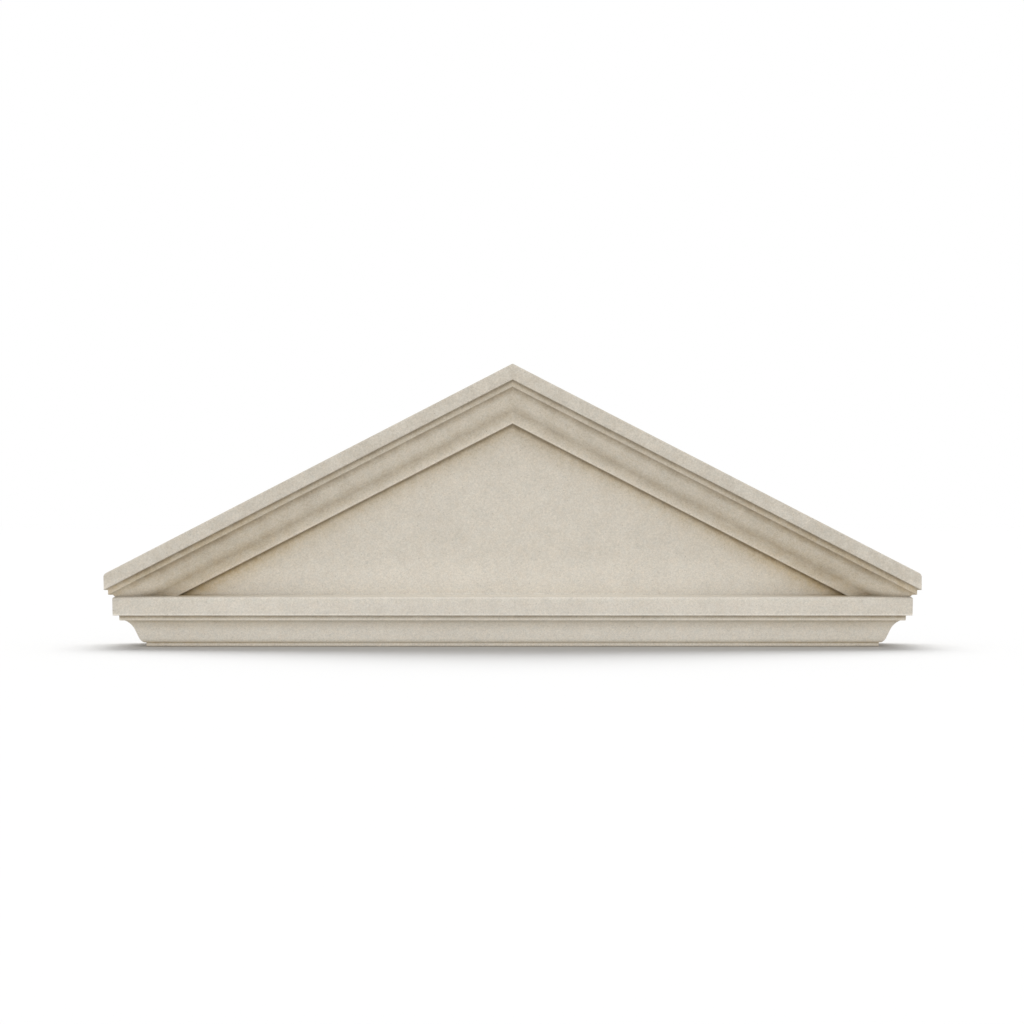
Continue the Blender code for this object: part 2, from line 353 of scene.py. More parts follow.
# %% Section of the level cornice, as (projection, height)
cyma_points = [(CYMA_FRONT - recess, CYMA_TOP - drop, 0.0) for drop, recess in level_cyma]
level_corners = [
    (0.0, LEVEL_TOP + LEDGE_FALL, 0.0),
    (LEVEL_FASCIA_FRONT, LEVEL_TOP, LEDGE_ARRIS),
    (LEVEL_FASCIA_FRONT - LEVEL_FASCIA_DRAFT, LEVEL_FILLET_TOP, SOFFIT_ARRIS),
    (LEVEL_FILLET_FRONT, LEVEL_FILLET_TOP, 0.0),
    (LEVEL_FILLET_FRONT, CYMA_TOP, FINE_ARRIS),
    (CYMA_FRONT, CYMA_TOP, 0.0),
    *cyma_points,
    (0.0, BED_FILLET_HEIGHT, 0.0),
    (0.0, 0.0, FINE_ARRIS),
    (-FINE_ARRIS, 0.0, 0.0),
]
level_path = softened(level_corners)[:-1]
LEDGE_EDGE = 3                              # the point where the ledge ends and the front begins
LEDGE_POINTS = 11                           # the ledge and its arris, as far as the projection grows
ledge_q, ledge_z = level_path[:LEDGE_POINTS].T
EDGE_Q = ledge_q[LEDGE_EDGE]
level_rows = spaced(level_path[LEDGE_EDGE:], ROW_GAP)
print("level cornice:", len(level_rows), "rows; ledge ends at", round(EDGE_Q, 4))


def ledge_height(q):
    """Height of the ledge and its arris at projection q, read off the level section."""
    return np.interp(q, ledge_q, ledge_z)


# %% Section of the raking cornice, as (projection, depth below the top edge)
curve_points = [(RAKE_CURVE_FRONT - recess, RAKE_FILLET_FOOT + drop, 0.0) for drop, recess in rake_curve]
curve_points[-1] = (*curve_points[-1][:2], FINE_ARRIS)
rake_corners = [
    (0.0, 0.0, 0.0),
    (RAKE_FASCIA_FRONT, 0.0, TOP_ARRIS),
    (RAKE_FASCIA_FRONT, RAKE_FASCIA_HEIGHT, FINE_ARRIS),
    (RAKE_FILLET_FRONT, RAKE_FASCIA_HEIGHT, 0.0),
    (RAKE_FILLET_FRONT, RAKE_FILLET_FOOT, FINE_ARRIS),
    (RAKE_CURVE_FRONT, RAKE_FILLET_FOOT, 0.0),
    *curve_points,
    (0.0, RAKE_FOOT, 0.0),
]
rake_front = spaced(softened(rake_corners)[1:], ROW_GAP)
top_back = graded(-BED_DEPTH, rake_front[0, 0], 0.0015, 0.012, growth=1.3)[:-1]
rake_rows = np.vstack([np.stack([top_back, 0 * top_back], 1), rake_front])
print("raking cornice:", len(rake_rows), "rows")

# %% [markdown]
# ## The stepped ends
#
# Seen from the front, each end of the raking block steps back under level soffits, fascia, fillet
# and hollow in turn, and comes down on the ledge. A row of the rake stops where it meets that
# outline, or lower down where it meets the ledge. A Boolean could cut the block to that shape, but
# it would leave slivers along the cut. Here each row's stop is worked out instead.

# %% Outline of an end
LEAD_IN = 0.05                              # how far up the slope the outline starts
HOLLOW_POINTS = 5
curve_half = FIELD_HALF + RAKE_CURVE_FRONT
hollow = [(curve_half - recess, END_SOFFIT - drop, 0.0) for drop, recess in rake_curve[:HOLLOW_POINTS]]
end_outline = softened([
    (HALF_WIDTH - LEAD_IN, END_TOP + LEAD_IN * TAN, 0.0),
    (HALF_WIDTH, END_TOP, END_CORNER),
    (HALF_WIDTH, END_FASCIA_FOOT, SOFFIT_ARRIS),
    (FIELD_HALF + RAKE_FILLET_FRONT, END_FASCIA_FOOT, 0.0),
    (FIELD_HALF + RAKE_FILLET_FRONT, END_SOFFIT, FINE_ARRIS),
    (curve_half, END_SOFFIT, 0.0),
    *hollow,
])[1:]


def depth_below(x, z):
    """Depth square to the slope below the rake's top edge."""
    return (APEX - x * TAN - z) * COS


def slope_height(x, depth):
    """Height of the line at that depth below the rake's top edge."""
    return APEX - x * TAN - depth / COS


outline_depth = depth_below(*end_outline.T)
foot_gap = end_outline[:, 1] - ledge_height(end_outline[:, 0] - FIELD_HALF)
at = np.argmax(foot_gap < 0)                # the first point of the outline that is below the ledge
share = foot_gap[at - 1] / (foot_gap[at - 1] - foot_gap[at])
foot_depth = outline_depth[at - 1] + share * (outline_depth[at] - outline_depth[at - 1])
wanted = np.append(outline_depth[1:at], foot_depth)
print("an end comes down on the ledge", round(foot_depth, 4), "m below the top edge of the rake")

# %% Where each row of the rake stops
SAME_ROW = 0.0001


def with_depths(rows, depths, apart):
    """Rows with more points put in on their line at the given depths, unless one is near."""
    fresh = depths[np.abs(depths[:, None] - rows[:, 1]).min(1) > apart]
    place = np.searchsorted(rows[:, 1], fresh)
    below, above = rows[place - 1], rows[place]
    part = ((fresh - below[:, 1]) / (above[:, 1] - below[:, 1]))[:, None]
    return np.insert(rows, place, below + part * (above - below), axis=0)


def row_ends(rows):
    """x where each row stops: on the end outline, or on the ledge once it is lower than that."""
    across = np.interp(rows[:, 1], outline_depth, end_outline[:, 0])
    on_ledge = across.copy()
    for _ in range(20):                     # each round comes closer to where the row meets the ledge
        q = np.maximum(rows[:, 0], on_ledge - FIELD_HALF)
        on_ledge = (APEX - rows[:, 1] / COS - ledge_height(q)) / TAN
    return np.where(rows[:, 1] > foot_depth - 1e-9, on_ledge, across)


rake_rows = with_depths(rake_rows, wanted, SAME_ROW)
lead = row_ends(rake_rows) - FIELD_HALF - rake_rows[:, 0]      # how far past the ledge's mitre a row stops
turn = np.flatnonzero((lead[:-1] > 0) & (lead[1:] <= 0) & (rake_rows[1:, 1] > foot_depth))[0]
part = lead[turn] / (lead[turn] - lead[turn + 1])
mitre_row = rake_rows[turn] + part * (rake_rows[turn + 1] - rake_rows[turn])
rake_rows = np.insert(rake_rows, turn + 1, mitre_row, axis=0)
row_end = row_ends(rake_rows)
FOOT_ROW = int(np.argmin(np.abs(rake_rows[:, 1] - foot_depth)))
MITRE_ROW = turn + 1
print("rows", len(rake_rows), "the end meets the ledge at row", FOOT_ROW, "and the mitre at", MITRE_ROW)

# %% [markdown]
# ## The surfaces
#
# Only the right half is worked out. It is mirrored at the end. The three long surfaces are
# grids: a section carried along a line, so their rows run straight along the mouldings and the
# light does too. The flat or ruled ones between them, such as the ledge, the ends, the bed and the
# back, have edges of odd shapes, so they are filled with triangles.

# %% Grids
sheets = []


def keep(name, points, faces):
    """Adds a sheet of the half to the list; points are (x, p, z), p being out from the tympanum."""
    sheets.append((np.asarray(points, float).reshape(-1, 3), faces))
    print(f"{name}: {len(faces)} faces")


def grid_faces(rows, columns):
    """Quads of a grid whose points are numbered row by row."""
    corner = (np.arange(rows - 1)[:, None] * columns + np.arange(columns - 1)).ravel()
    return np.stack([corner, corner + 1, corner + columns + 1, corner + columns], 1)


print("a grid of 3 by 4 points has", len(grid_faces(3, 4)), "faces")

# %% Flat sheets, filled with triangles between their edges
MICROMETRE = 1e-6


def fill(loop, lines=(), inside=None):
    """Triangles over a flat region: loop is its edge, lines run across it, inside are free points.

    Points of the same micrometre become one. The triangles are a Delaunay filling, in which the
    edge and the lines are kept.
    """
    closed = np.vstack([loop, loop[:1]])
    paths = [closed, *lines]
    points = np.vstack(paths + ([] if inside is None else [inside]))
    starts = np.cumsum([0] + [len(path) for path in paths])
    edges = np.concatenate([np.stack([np.arange(a, b - 1), np.arange(a + 1, b)], 1)
                            for a, b in zip(starts[:-1], starts[1:])])
    keys, index = np.unique((points / MICROMETRE).round().astype(int), axis=0, return_inverse=True)
    first = np.zeros(len(keys), int)
    first[index.ravel()[::-1]] = np.arange(len(points))[::-1]
    edges = np.unique(np.sort(index.ravel()[edges], axis=1), axis=0)
    edges = edges[edges[:, 0] != edges[:, 1]]
    found = delaunay_2d_cdt([Vector(point) for point in points[first]], edges.tolist(), [], 1, 1e-7)
    return np.array([tuple(point) for point in found[0]]), np.array(found[2])


def lattice(across_marks, up_marks):
    """Every pair of a mark across and a mark up."""
    return np.stack(np.meshgrid(across_marks, up_marks), 2).reshape(-1, 2)


def clear_of(points, loop, gap):
    """The points that are further than gap from every point of the loop and not crowded."""
    points = points[np.linalg.norm(points[:, None] - loop[None], axis=2).min(1) > gap]
    near = np.linalg.norm(points[:, None] - points[None], axis=2) < gap / 3
    return points[~np.triu(near, 1).any(0)]


unit_square = np.array([(0.0, 0.0), (1.0, 0.0), (1.0, 1.0), (0.0, 1.0)])
print("a square around one free point:", len(fill(unit_square, (), [(0.5, 0.5)])[1]), "triangles")

# %% Raking cornice, from the end to the apex
along = graded(1.0, 0.0, 0.0014, 0.0082, growth=1.16)
rake_x = row_end[:, None] * along
rake_z = slope_height(rake_x, rake_rows[:, 1:])
rake_p = np.broadcast_to(rake_rows[:, :1], rake_x.shape)
keep("raking cornice", np.stack([rake_x, rake_p, rake_z], 2), grid_faces(*rake_x.shape))

# %% Tympanum, from the ledge up to the rake
foot_x = rake_x[-1]
rise = graded(0.0, 1.0, 0.012, 0.03)
field_foot = ledge_height(0.0)
field_z = field_foot + rise[:, None] * (rake_z[-1] - field_foot)
field_x = np.broadcast_to(foot_x, field_z.shape)
keep("tympanum", np.stack([field_x, 0 * field_x, field_z], 2), grid_faces(*field_x.shape))

# %% Level cornice, carried round the mitre to the wall side
SIDE_GAPS = (0.0012, 0.007)                 # the finest and the coarsest along a return
front_x = graded(FIELD_HALF + EDGE_Q, 0.0, 0.0012, 0.0075, growth=1.16, both=False)
front_share = front_x / front_x[0]
side_p = graded(EDGE_Q, -BED_DEPTH, *SIDE_GAPS)
side_share = (EDGE_Q - side_p) / (EDGE_Q + BED_DEPTH)
q, height = level_rows[:, :1], level_rows[:, 1:]
level_x = np.hstack([(FIELD_HALF + q) * front_share[::-1],
                     np.repeat(FIELD_HALF + q, len(side_p) - 1, 1)])
level_p = np.hstack([np.repeat(q, len(front_x), 1), q - side_share[1:] * (q + BED_DEPTH)])
level_z = np.broadcast_to(height, level_x.shape)
keep("level cornice", np.stack([level_x, level_p, level_z], 2), grid_faces(*level_x.shape))

# %% End of the raking block, ruled straight back to the wall side
back_p = graded(rake_rows[FOOT_ROW, 0], -BED_DEPTH, *SIDE_GAPS)
end_rows, end_row_x = rake_rows[: FOOT_ROW + 1], row_end[: FOOT_ROW + 1]
depths, last = np.unique(end_rows[::-1, 1].round(9), return_index=True)
inner_p = end_rows[::-1][last, 0]
bottom = np.stack([back_p[1:], np.full(len(back_p) - 1, end_rows[-1, 1])], 1)
wall_edge = np.stack([np.full(len(depths) - 2, -BED_DEPTH), depths[-2:0:-1]], 1)
end_loop = np.vstack([end_rows, bottom, wall_edge])
end_lines = [np.vstack([[(start, depth)], [(p, depth) for p in back_p if p < start - SIDE_GAPS[0] / 2]])
             for depth, start in zip(depths[1:-1], inner_p[1:-1])]
points, faces = fill(end_loop, end_lines)
end_x = np.interp(points[:, 1], end_rows[:, 1], end_row_x)
keep("end", np.stack([end_x, points[:, 0], slope_height(end_x, points[:, 1])], 1), faces)

# %% Edges of the ledge, from the foot of the rake to the arris of the level fascia
side_foot = np.stack([np.full(len(back_p), row_end[FOOT_ROW]), back_p], 1)[::-1]
rake_foot = np.stack([row_end[FOOT_ROW + 1:], rake_rows[FOOT_ROW + 1:, 0]], 1)
field_line = np.stack([foot_x[1:], 0 * foot_x[1:]], 1)
middle_p = np.linspace(0.0, EDGE_Q, 16)[1:-1]
middle_line = np.stack([0 * middle_p, middle_p], 1)
edge_line = np.stack([level_x[0], level_p[0]], 1)
wall_x = np.linspace(FIELD_HALF + EDGE_Q, row_end[FOOT_ROW], 4)[1:-1]
wall_line = np.stack([wall_x, np.full(2, -BED_DEPTH)], 1)
ledge_loop = np.vstack([side_foot, rake_foot, field_line, middle_line, edge_line, wall_line])
print("the ledge has", len(ledge_loop), "points round it")

# %% Ledge, with a line along its mitre
LEDGE_MARKS = (0.006, 0.004)                # between free points, along the ledge and out from the field
mitre_start = rake_foot[MITRE_ROW - FOOT_ROW - 1]
mitre_p = np.linspace(mitre_start[1], EDGE_Q, 9)
mitre_line = np.stack([FIELD_HALF + mitre_p, mitre_p], 1)
mitre_line[0] = mitre_start
free = lattice(*(np.arange(mark / 2, end, mark) for mark, end in zip(LEDGE_MARKS, (0.80, EDGE_Q))))
free = clear_of(free, ledge_loop, 0.0022)
points, faces = fill(ledge_loop, [mitre_line], free[free[:, 0] - FIELD_HALF < free[:, 1] - 0.002])
ledge_at = ledge_height(np.maximum(points[:, 1], points[:, 0] - FIELD_HALF))
keep("ledge", np.column_stack([points, ledge_at]), faces)

# %% Bed, flat
FLAT_MARK = 0.012                           # between free points on the bed and the back
bed_line = np.stack([level_x[-1], level_p[-1]], 1)
bed_x = np.linspace(bed_line[-1, 0], 0.0, 90)
bed_back = np.stack([bed_x, np.full(len(bed_x), -BED_DEPTH)], 1)
bed_p = np.linspace(-BED_DEPTH, bed_line[0, 1], 18)[1:-1]
bed_loop = np.vstack([bed_line, bed_back[1:], np.stack([0 * bed_p, bed_p], 1)])
free = lattice(np.arange(FLAT_MARK / 2, 0.74, FLAT_MARK), np.arange(-0.142, -0.006, FLAT_MARK))
points, faces = fill(bed_loop, (), clear_of(free, bed_loop, 0.005))
keep("bed", np.column_stack([points, 0 * points[:, 0]]), faces)

# %% Edges of the back
top_line = np.stack([rake_x[0], rake_z[0]], 1)[::-1]
end_line = np.stack([np.interp(depths, end_rows[:, 1], end_row_x), depths], 1)[1:]
end_line[:, 1] = slope_height(*end_line.T)
wall_ledge = np.stack([wall_x, ledge_height(wall_x - FIELD_HALF)], 1)[::-1]
level_line = np.stack([level_x[:, -1], level_z[:, -1]], 1)
foot_line = np.stack([bed_x[1:], 0 * bed_x[1:]], 1)
up_z = np.linspace(0.0, APEX, 60)[1:-1]
up_line = np.stack([0 * up_z, up_z], 1)
back_loop = np.vstack([top_line, end_line, wall_ledge, level_line, foot_line, up_line])
print("the back has", len(back_loop), "points round it")

# %% Back, flat, with two finer rings of points inside its edge
along_loop = np.roll(back_loop, -1, 0) - np.roll(back_loop, 1, 0)
inward = np.stack([along_loop[:, 1], -along_loop[:, 0]], 1)
inward /= np.linalg.norm(inward, axis=1)[:, None]
ring = [clear_of(back_loop + inward * gap, back_loop, gap * 0.8) for gap in (0.0016, 0.0040)]
free = lattice(np.arange(FLAT_MARK / 2, 0.82, FLAT_MARK), np.arange(FLAT_MARK / 2, 0.57, FLAT_MARK))
free = np.vstack([*ring, clear_of(free, back_loop, 0.009)])
points, faces = fill(back_loop, (), free[free[:, 0] > 0.001])
keep("back", np.stack([points[:, 0], np.full(len(points), -BED_DEPTH), points[:, 1]], 1), faces)


# %% [markdown]
# ## One skin
#
# The sheets share their edges point for point, so merging doubles closes the skin. Left apart, they
# would shade with a hard line at each join. A closed solid has exactly two faces on every edge,
# which is counted here.

# %% Mirror, merge and turn outwards
MERGE_WITHIN = 0.00003
NO_LENGTH = 0.000001


def one_skin(name, parts):
    """A mesh of all the sheets and their mirror images, doubles merged and faces turned outwards."""
    shape = bmesh.new()
    for side in (1, -1):
        for points, faces in parts:
            places = np.column_stack([side * points[:, 0], FACE_Y - points[:, 1], points[:, 2]])
            used = np.unique(faces)
            number = np.zeros(len(points), int)
            number[used] = np.arange(len(used))
            sheet = bpy.data.meshes.new("sheet")
            sheet.from_pydata(places[used].tolist(), [], number[faces].tolist())
            shape.from_mesh(sheet)
            bpy.data.meshes.remove(sheet)
    bmesh.ops.remove_doubles(shape, verts=shape.verts, dist=MERGE_WITHIN)
    bmesh.ops.dissolve_degenerate(shape, edges=shape.edges, dist=NO_LENGTH)
    bmesh.ops.recalc_face_normals(shape, faces=shape.faces)
    open_edges = sum(len(edge.link_faces) != 2 for edge in shape.edges)
    print("open edges:", open_edges, "volume:", round(shape.calc_volume(signed=True), 5), "m3")
    mesh = bpy.data.meshes.new(name)
    shape.to_mesh(mesh)
    shape.free()
    return mesh


stone_mesh = one_skin("pediment_stone", sheets)
pediment = bpy.data.objects.new("pediment_stone", stone_mesh)
SCENE.collection.objects.link(pediment)
print("faces:", len(stone_mesh.polygons), "points:", len(stone_mesh.vertices))

# %% [markdown]
# ## Wear
#
# Rain and handling take the sharpness off every arris and leave the hollows alone. Each point is
# drawn towards the mean of its neighbours, but only inwards, so only what stands proud is worn.
# A Smooth modifier would fill the hollows as well. The wear is uneven along an arris, and broad
# faces get a cast surface's slight unevenness.

# %% Soft noise in space
CELLS = 32                                  # the values repeat after so many cells


def cloud(place, size, seed):
    """Smooth noise from 0 to 1: random values on a lattice of that size, blended between corners.

    Blend weight = t t (3 - 2 t) along each axis, t being the place within the cell.
    """
    values = np.random.default_rng(seed).random((CELLS, CELLS, CELLS))
    cell = np.floor(place / size)
    t = place / size - cell
    t = t * t * (3 - 2 * t)
    cell = cell.astype(int)
    total = np.zeros(len(place))
    for corner in np.ndindex(2, 2, 2):
        weight = np.prod(np.where(np.array(corner) == 1, t, 1 - t), axis=1)
        total += weight * values[tuple(((cell + corner) % CELLS).T)]
    return total


three_points = np.array([(0.0, 0.0, 0.0), (0.01, 0.0, 0.0), (0.02, 0.0, 0.0)])
print("noise of 11 mm at three points 10 mm apart:", cloud(three_points, 0.011, 3).round(2))

# %% Points and normals of a mesh
def places_of(mesh):
    """Every point of a mesh as rows of x, y, z."""
    flat = np.empty(len(mesh.vertices) * 3)
    mesh.vertices.foreach_get("co", flat)
    return flat.reshape(-1, 3)


def normals_of(mesh):
    """Every point's normal as rows of x, y, z."""
    flat = np.empty(len(mesh.vertices) * 3, np.float32)
    mesh.vertex_normals.foreach_get("vector", flat)
    return flat.reshape(-1, 3).astype(float)


print("tallest point of the skin", round(places_of(stone_mesh)[:, 2].max(), 4), "m")

# %% Worn arrises and a slightly uneven face
WEAR_ROUNDS = 4
WEAR_REACH = 0.0012                         # neighbours further away pull no harder than from here
UNEVEN = 0.00025
TRUE_EDGE = 0.0015                          # the flat back and the bed keep their planes
FULLY_RUBBED = 0.0010


def worn(mesh):
    """Moves each point inwards by the part of its neighbours' mean that lies below it.

    Step = share x smaller of 0 and (mean of neighbours - point) . normal. The share is a tenth
    everywhere and more in patches. Then each point sinks by up to UNEVEN, following soft noise.
    """
    place, out = places_of(mesh), normals_of(mesh)
    pairs = np.empty(len(mesh.edges) * 2, np.int32)
    mesh.edges.foreach_get("vertices", pairs)
    near, far = pairs.reshape(-1, 2).T
    count = len(place)
    degree = np.bincount(near, minlength=count) + np.bincount(far, minlength=count)
    start = place.copy()
    share = 0.10 + 0.5 * cloud(place, 0.011, 3) + 0.25 * cloud(place, 0.05, 4)
    for _ in range(WEAR_ROUNDS):
        step = place[far] - place[near]
        step *= np.minimum(1.0, WEAR_REACH / np.linalg.norm(step, axis=1))[:, None]
        pull = np.stack([np.bincount(near, step[:, k], count) - np.bincount(far, step[:, k], count)
                         for k in range(3)], 1) / degree[:, None]
        sink = np.minimum(0.0, (pull * out).sum(1))
        place += out * (sink * share)[:, None]
    rubbed_off = np.linalg.norm(place - start, axis=1)
    free = (place[:, 1] < cad_high.y - TRUE_EDGE) & (place[:, 2] > TRUE_EDGE)
    waves = 0.6 * cloud(start, 0.12, 5) + 0.3 * cloud(start, 0.045, 6) + 0.1 * cloud(start, 0.012, 7)
    place -= out * (UNEVEN * waves * free)[:, None]
    mesh.vertices.foreach_set("co", place.ravel())
    mesh.update()
    return rubbed_off


rubbed_off = worn(stone_mesh)
rubbed_layer = stone_mesh.attributes.new("rubbed", "FLOAT", "POINT")
rubbed_layer.data.foreach_set("value", np.minimum(1.0, rubbed_off / FULLY_RUBBED).astype(np.float32))
stone_mesh.polygons.foreach_set("use_smooth", np.ones(len(stone_mesh.polygons), bool))
for word, depth in (("mean", rubbed_off.mean()), ("most", rubbed_off.max())):
    print("rubbed off,", word, round(depth * 1000, 2), "mm")

# %% [markdown]
# ## The stone, its dirt and its painted shade
#
# Cast stone is sand and cement, so close up it is a mass of grains in slightly different tones.
# Weather then stains it member by member, and shade is painted in along the same members: soot and
# dust with painted shade under each soffit and in the hollows, a warm wash of ochre under the raking
# cornice, and a painted shadow line where it stands on the ground. The finish reads the place of a
# point in the piece: its depth below the rake's top edge, or its height on the level cornice. So it
# follows every member exactly, with nothing to unwrap or paint.

# %% Nodes of the stone, put together by name
stone = bpy.data.materials.new("cast_stone")
stone.use_nodes = True
stone_tree = stone.node_tree
stone_shader = stone_tree.nodes["Principled BSDF"]


def put(kind, inputs, **settings):
    """Adds a node with its settings; an input is given a value, or is linked to another's output."""
    node = stone_tree.nodes.new("ShaderNode" + kind)
    for name, value in settings.items():
        setattr(node, name, value)
    for key, value in inputs.items():
        if isinstance(value, bpy.types.NodeSocket):
            stone_tree.links.new(value, node.inputs[key])
        else:
            node.inputs[key].default_value = value
    return node


def reckon(operation, *values):
    """The result of one operation on numbers and outputs."""
    return put("Math", dict(enumerate(values)), operation=operation).outputs[0]


def plus(*values):
    """The sum of numbers and outputs."""
    return reduce(lambda so_far, value: reckon("ADD", so_far, value), values)


def times(*values):
    """The product of numbers and outputs."""
    return reduce(lambda so_far, value: reckon("MULTIPLY", so_far, value), values)


def less(value, *taken):
    """value with the others taken away one by one."""
    return reduce(lambda so_far, part: reckon("SUBTRACT", so_far, part), taken, value)


print("the stone starts with", len(stone_tree.nodes), "nodes")

# %% Where a point is on the piece
def between(value, low, high, to_low, to_high):
    """value carried smoothly from low..high to to_low..to_high and held there outside them."""
    inputs = {"Value": value, "From Min": low, "From Max": high, "To Min": to_low, "To Max": to_high}
    return put("MapRange", inputs, interpolation_type="SMOOTHSTEP").outputs[0]


place = put("TexCoord", {}).outputs["Object"]
apart = put("SeparateXYZ", {0: place}).outputs
across, height_up = reckon("ABSOLUTE", apart[0]), apart[2]
rake_depth = times(less(APEX, times(across, TAN), height_up), COS)
WALL_Y = FACE_Y + BED_DEPTH
on_front = between(apart[1], WALL_Y - 0.004, WALL_Y - 0.001, 1.0, 0.0)
above_ledge = between(height_up, LEVEL_TOP - 0.0005, LEVEL_TOP + 0.0025, 0.0, 1.0)
on_field = between(rake_depth, RAKE_FOOT - 0.0005, RAKE_FOOT + 0.0005, 0.0, 1.0)
on_back, below_ledge = less(1.0, on_front), less(1.0, above_ledge)
on_rake = times(above_ledge, less(1.0, on_field))
print("tympanum:", round(RAKE_FOOT, 4), "m below the top edge and", round(LEVEL_TOP, 4), "m up")

# %% How dark each member is made: (depth or height, darkening by dirt and painted shade, ochre, foot dirt)
UNDER = 0.0006
rake_stops = [
    (0.0, 0.54, 0.00, 0.0),
    (RAKE_FASCIA_HEIGHT - UNDER, 0.54, 0.00, 0.0),
    # painted shade with some dirt: the crease under the fascia
    (RAKE_FASCIA_HEIGHT + UNDER, 1.00, 0.34, 0.0),
    (RAKE_FASCIA_HEIGHT + 0.0030, 0.90, 0.34, 0.0),
    (RAKE_FASCIA_HEIGHT + 0.0070, 0.52, 0.34, 0.0),
    (RAKE_FILLET_FOOT - UNDER, 0.45, 0.28, 0.0),
    # painted shade with some dirt: the crease under the fillet
    (RAKE_FILLET_FOOT + UNDER, 0.90, 0.32, 0.0),
    (RAKE_FILLET_FOOT + 0.0045, 0.70, 0.32, 0.0),
    (RAKE_FILLET_FOOT + 0.0130, 0.46, 0.18, 0.0),
    (RAKE_FILLET_FOOT + 0.0260, 0.45, 0.18, 0.2),
    # painted shade with some dirt in the hollow of the curve; the foot dirt here is a brown stain
    (RAKE_FILLET_FOOT + 0.0410, 0.60, 0.30, 1.0),
    (RAKE_FILLET_FOOT + 0.0530, 0.44, 0.28, 0.2),
    (RAKE_FOOT - 0.0040, 0.28, 0.24, 0.0),
    (RAKE_FOOT - UNDER, 0.12, 0.18, 0.0),
    # painted shade: the darkening on the tympanum just under the rake, where its shadow falls; the ochre
    # is a stain
    (RAKE_FOOT + UNDER, 0.92, 0.48, 0.0),
    (RAKE_FOOT + 0.0025, 0.72, 0.54, 0.0),
    (RAKE_FOOT + 0.0055, 0.33, 0.54, 0.0),
    (RAKE_FOOT + 0.0100, 0.10, 0.46, 0.0),
    (RAKE_FOOT + 0.0140, 0.07, 0.40, 0.0),
    (RAKE_FOOT + 0.0220, 0.02, 0.26, 0.0),
    (RAKE_FOOT + 0.0400, 0.01, 0.12, 0.0),
    (RAKE_FOOT + 0.0800, 0.05, 0.04, 0.0),
]
level_stops = [
    # painted shade: the dark line where the piece stands on the ground
    (0.0, 1.00, 0.10, 0.0),
    (0.0011, 0.95, 0.10, 0.0),
    (0.0022, 0.02, 0.08, 0.0),
    (BED_FILLET_HEIGHT - 0.0028, 0.04, 0.10, 0.0),
    # painted shade with some dirt: the crease over the bed fillet
    (BED_FILLET_HEIGHT - UNDER, 0.40, 0.36, 0.0),
    (BED_FILLET_HEIGHT + UNDER, 0.18, 0.35, 0.0),
    (BED_FILLET_HEIGHT + 0.0028, 0.00, 0.10, 0.0),
    (BED_FILLET_HEIGHT + 0.0080, 0.00, 0.03, 0.0),
    (CYMA_TOP - 0.0240, 0.00, 0.04, 0.0),
    # painted shade with some dirt: the top of the cyma, under the fillet
    (CYMA_TOP - 0.0180, 0.06, 0.06, 0.0),
    (CYMA_TOP - 0.0120, 0.13, 0.12, 0.0),
    (CYMA_TOP - 0.0060, 0.15, 0.16, 0.0),
    (CYMA_TOP - UNDER, 0.40, 0.24, 0.0),
    (CYMA_TOP + UNDER, 0.05, 0.12, 0.0),
    # painted shade with some dirt: the fillet under the fascia's soffit
    (LEVEL_FILLET_TOP - 0.0066, 0.08, 0.13, 0.0),
    (LEVEL_FILLET_TOP - 0.0046, 0.42, 0.20, 0.0),
    (LEVEL_FILLET_TOP - UNDER, 0.80, 0.25, 0.0),
    # painted light: the fascia's lower arris is kept clear of darkening, to lighten the shade on it
    (LEVEL_FILLET_TOP + UNDER, 0.00, 0.00, 0.0),
    (LEVEL_FILLET_TOP + 0.0022, 0.04, 0.00, 0.0),
    (LEVEL_FILLET_TOP + 0.0046, 0.29, 0.00, 0.0),
    (LEVEL_TOP - 0.0040, 0.29, 0.00, 0.0),
    (LEVEL_TOP, 0.22, 0.00, 0.0),
]
print(len(rake_stops), "stops of dirt on the rake,", len(level_stops), "on the level cornice")

# %% The dirt and painted shade, carried along each member
RAKE_REACH, LEVEL_REACH = 0.20, 0.12


def by_stops(value, reach, stops):
    """Three amounts that change along value, from stops of (value, darkening by dirt and painted shade,
    ochre, foot dirt).
    """
    node = put("ValToRGB", {0: reckon("DIVIDE", value, reach)})
    ramp = node.color_ramp
    ramp.elements.remove(ramp.elements[1])
    for number, (at_value, *amounts) in enumerate(stops):
        stop = ramp.elements[0] if number == 0 else ramp.elements.new(at_value / reach)
        stop.position = at_value / reach
        stop.color = (*amounts, 1.0)
    return node.outputs[0]


# dirt and painted shade along the rake and along the level cornice
rake_dirt_and_shade = by_stops(rake_depth, RAKE_REACH, rake_stops)
level_dirt_and_shade = by_stops(height_up, LEVEL_REACH, level_stops)
both_dirt_and_shade = put("Mix", {0: above_ledge, 6: level_dirt_and_shade, 7: rake_dirt_and_shade}, data_type="RGBA").outputs[2]
member_grime_and_shade, member_ochre, foot_dirt = put("SeparateColor", {0: both_dirt_and_shade}).outputs[:3]
print("dirt is known", RAKE_REACH, "m down from the top edge and", LEVEL_REACH, "m up from the ground")

# %% [markdown]
# The tympanum grows a little darker towards the apex, and the level cornice towards its ends.
# Grime and painted shade are thinner where an arris is rubbed. At the feet of the rakes some of the
# darkening is taken off, as painted light against the shade that falls there. The ochre is strongest
# towards the two low corners. The hidden back has an even, plainer grey of its own.

